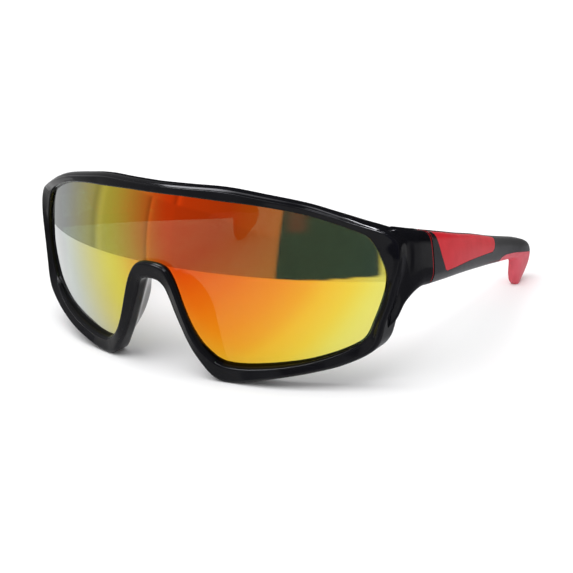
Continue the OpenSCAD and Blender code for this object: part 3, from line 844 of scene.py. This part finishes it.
sky = bpy.data.lights.new("overhead", "SUN")
sky.energy = 2.3
sky.angle = math.radians(60)
sky_o = bpy.data.objects.new("overhead", sky)
sky_o.rotation_euler = (math.radians(17), math.radians(-5), 0)
sky_o.visible_glossy = False
bpy.context.scene.collection.objects.link(sky_o)

# cards around and over the glasses, seen only in reflections; azimuth 0 is -Y, + towards +X
RC, CY = 0.20, -0.055


def edge(x, at, w):
    return float(smoothstep(at - w, at + w, x))


def between(x, lo, hi, w=1.2):
    return edge(x, lo, w) * (1 - edge(x, hi, w))


def wall_tone(az, z):
    """Light panels in front and to the wearer's right, a dark stretch to the left of them, dark at the back."""
    low = 0.56 * between(az, -125, -70, 6) + 0.64 * between(az, -70, -39.5, 3) + 0.70 * between(az, -39.5, -26.5, 0.8)
    low += (0.65 - 0.0045 * (az + 26.5)) * between(az, -26.5, 22 + 28 * z, 0.8)
    high = 0.66 * between(az, -125, -62, 6) + 0.80 * between(az, -62, -26, 4)
    high += (0.74 - 0.0055 * (az + 26)) * between(az, -26, 22 + 28 * z, 0.8)
    z_cut = 0.088 - 0.026 * float(smoothstep(-12, 21, az))
    k = edge(z, z_cut, 0.0015)
    side = 0.75 * between(az, 64, 82, 1.2)
    side += (1.0 * between(az, 96, 135, 5) + 0.3 * between(az, 135, 240, 5)) * (1 - edge(z, 0.035, 0.008))
    spot = 0.09 * between(az, 27, 35, 3) * edge(z, 0.070, 0.006)
    v = low + (high - low) * k + side
    m = between(az, 28, 92, 2) * (1 - edge(z, 0.009 * float(smoothstep(26, 70, az)) - 0.001, 0.0008))
    v = v * (1 - m) + 0.95 * m
    grey_ = v + 0.012
    blue = between(az, 20 + 28 * z, 64, 1.5) * (1 - edge(z, 0.10, 0.01)) * (0.3 + 0.7 * float(smoothstep(22, 50, az)))
    return (grey_ + spot, grey_ + 0.15 * spot, grey_ + 0.14 * blue)


def over_tone(x, y):
    """Ceiling of dark cloth with one long bright strip over the brow, which fades to the left, and one small bright window."""
    v = 0.05 + 27.0 * between(y, -0.160, -0.095, 0.012) * between(x, -0.40, -0.045, 0.03)
    v += 6.0 * between(y, -0.150, -0.085, 0.015) * between(x, -0.045, 0.05, 0.03)
    v += 10.0 * between(x, 0.07, 0.185, 0.02) * between(y, -0.11, -0.02, 0.02)
    v += 90.0 * between(x, 0.14, 0.20, 0.006) * between(y, 0.0, 0.085, 0.008)
    return (v, v, 1.06 * v)


def card(name, us, vs, point, tone, mat):
    verts, faces, vals = [], [], []
    for a_ in us:
        for b_ in vs:
            verts.append(point(a_, b_))
            vals += list(tone(a_, b_)) + [1.0]
    nv_ = len(vs)
    for i in range(len(us) - 1):
        for j in range(nv_ - 1):
            faces.append((i * nv_ + j, (i + 1) * nv_ + j, (i + 1) * nv_ + j + 1, i * nv_ + j + 1))
    o = stage_mesh(name, verts, faces, mat, camera=False)
    at_ = o.data.attributes.new("tone", "FLOAT_COLOR", "POINT")
    at_.data.foreach_set("color", np.array(vals, np.float32))
    return o


m_card = bpy.data.materials.new("cards")
m_card.use_nodes = True
nt = m_card.node_tree
nt.nodes.remove(nt.nodes["Principled BSDF"])
em = nt.nodes.new("ShaderNodeEmission")
at = nt.nodes.new("ShaderNodeAttribute")
at.attribute_name = "tone"
nt.links.new(at.outputs["Color"], em.inputs["Color"])
nt.links.new(em.outputs["Emission"], nt.nodes["Material Output"].inputs["Surface"])
card("card_wall", np.arange(-125, 235.1, 1.0), np.concatenate([np.linspace(0.0, 0.11, 45), np.linspace(0.115, 0.30, 10)]),
     lambda a_, z_: (RC * math.sin(math.radians(a_)), CY - RC * math.cos(math.radians(a_)), float(z_)), wall_tone, m_card)
card("card_over", np.arange(-0.42, 0.421, 0.005), np.arange(-0.46, 0.36, 0.005),
     lambda x_, y_: (float(x_), float(y_), 0.301), over_tone, m_card)
card("card_side", np.array([0.030, 0.066, 0.085, 0.086, 0.12, 0.19]), np.linspace(-0.055, 0.13, 4),
     lambda x_, y_: (float(x_), float(y_), 0.0004), lambda x_, y_: (0.5, 0.5, 0.52) if x_ < 0.0855 else (0.35, 0.35, 0.38), m_card)

# ------------------------------------------------------------------ camera
az, el, roll, dist_mm = 0.5750, 0.3209, -0.0187, 264.636
t = Vector((39.305, 7.784 - ORIGIN_Y, 30.283 - LIFT)) / 1000
d = Vector((math.sin(az) * math.cos(el), -math.cos(az) * math.cos(el), math.sin(el)))
fw = -d
r = fw.cross(Vector((0, 0, 1))).normalized()
u = r.cross(fw)
r2 = math.cos(roll) * r + math.sin(roll) * u
u2 = -math.sin(roll) * r + math.cos(roll) * u
cam_data = bpy.data.cameras.new("camera")
cam_data.sensor_width = 36
cam_data.lens = 995.393 / 573 * 36
cam_data.clip_start = 0.01
cam = bpy.data.objects.new("camera", cam_data)
bpy.context.scene.collection.objects.link(cam)
rot = Matrix((r2, u2, -fw)).transposed()
cam.matrix_world = Matrix.Translation(t + d * dist_mm / 1000) @ rot.to_4x4()
bpy.context.scene.camera = cam
bpy.context.scene.view_settings.view_transform = "Standard"

bpy.context.view_layer.update()
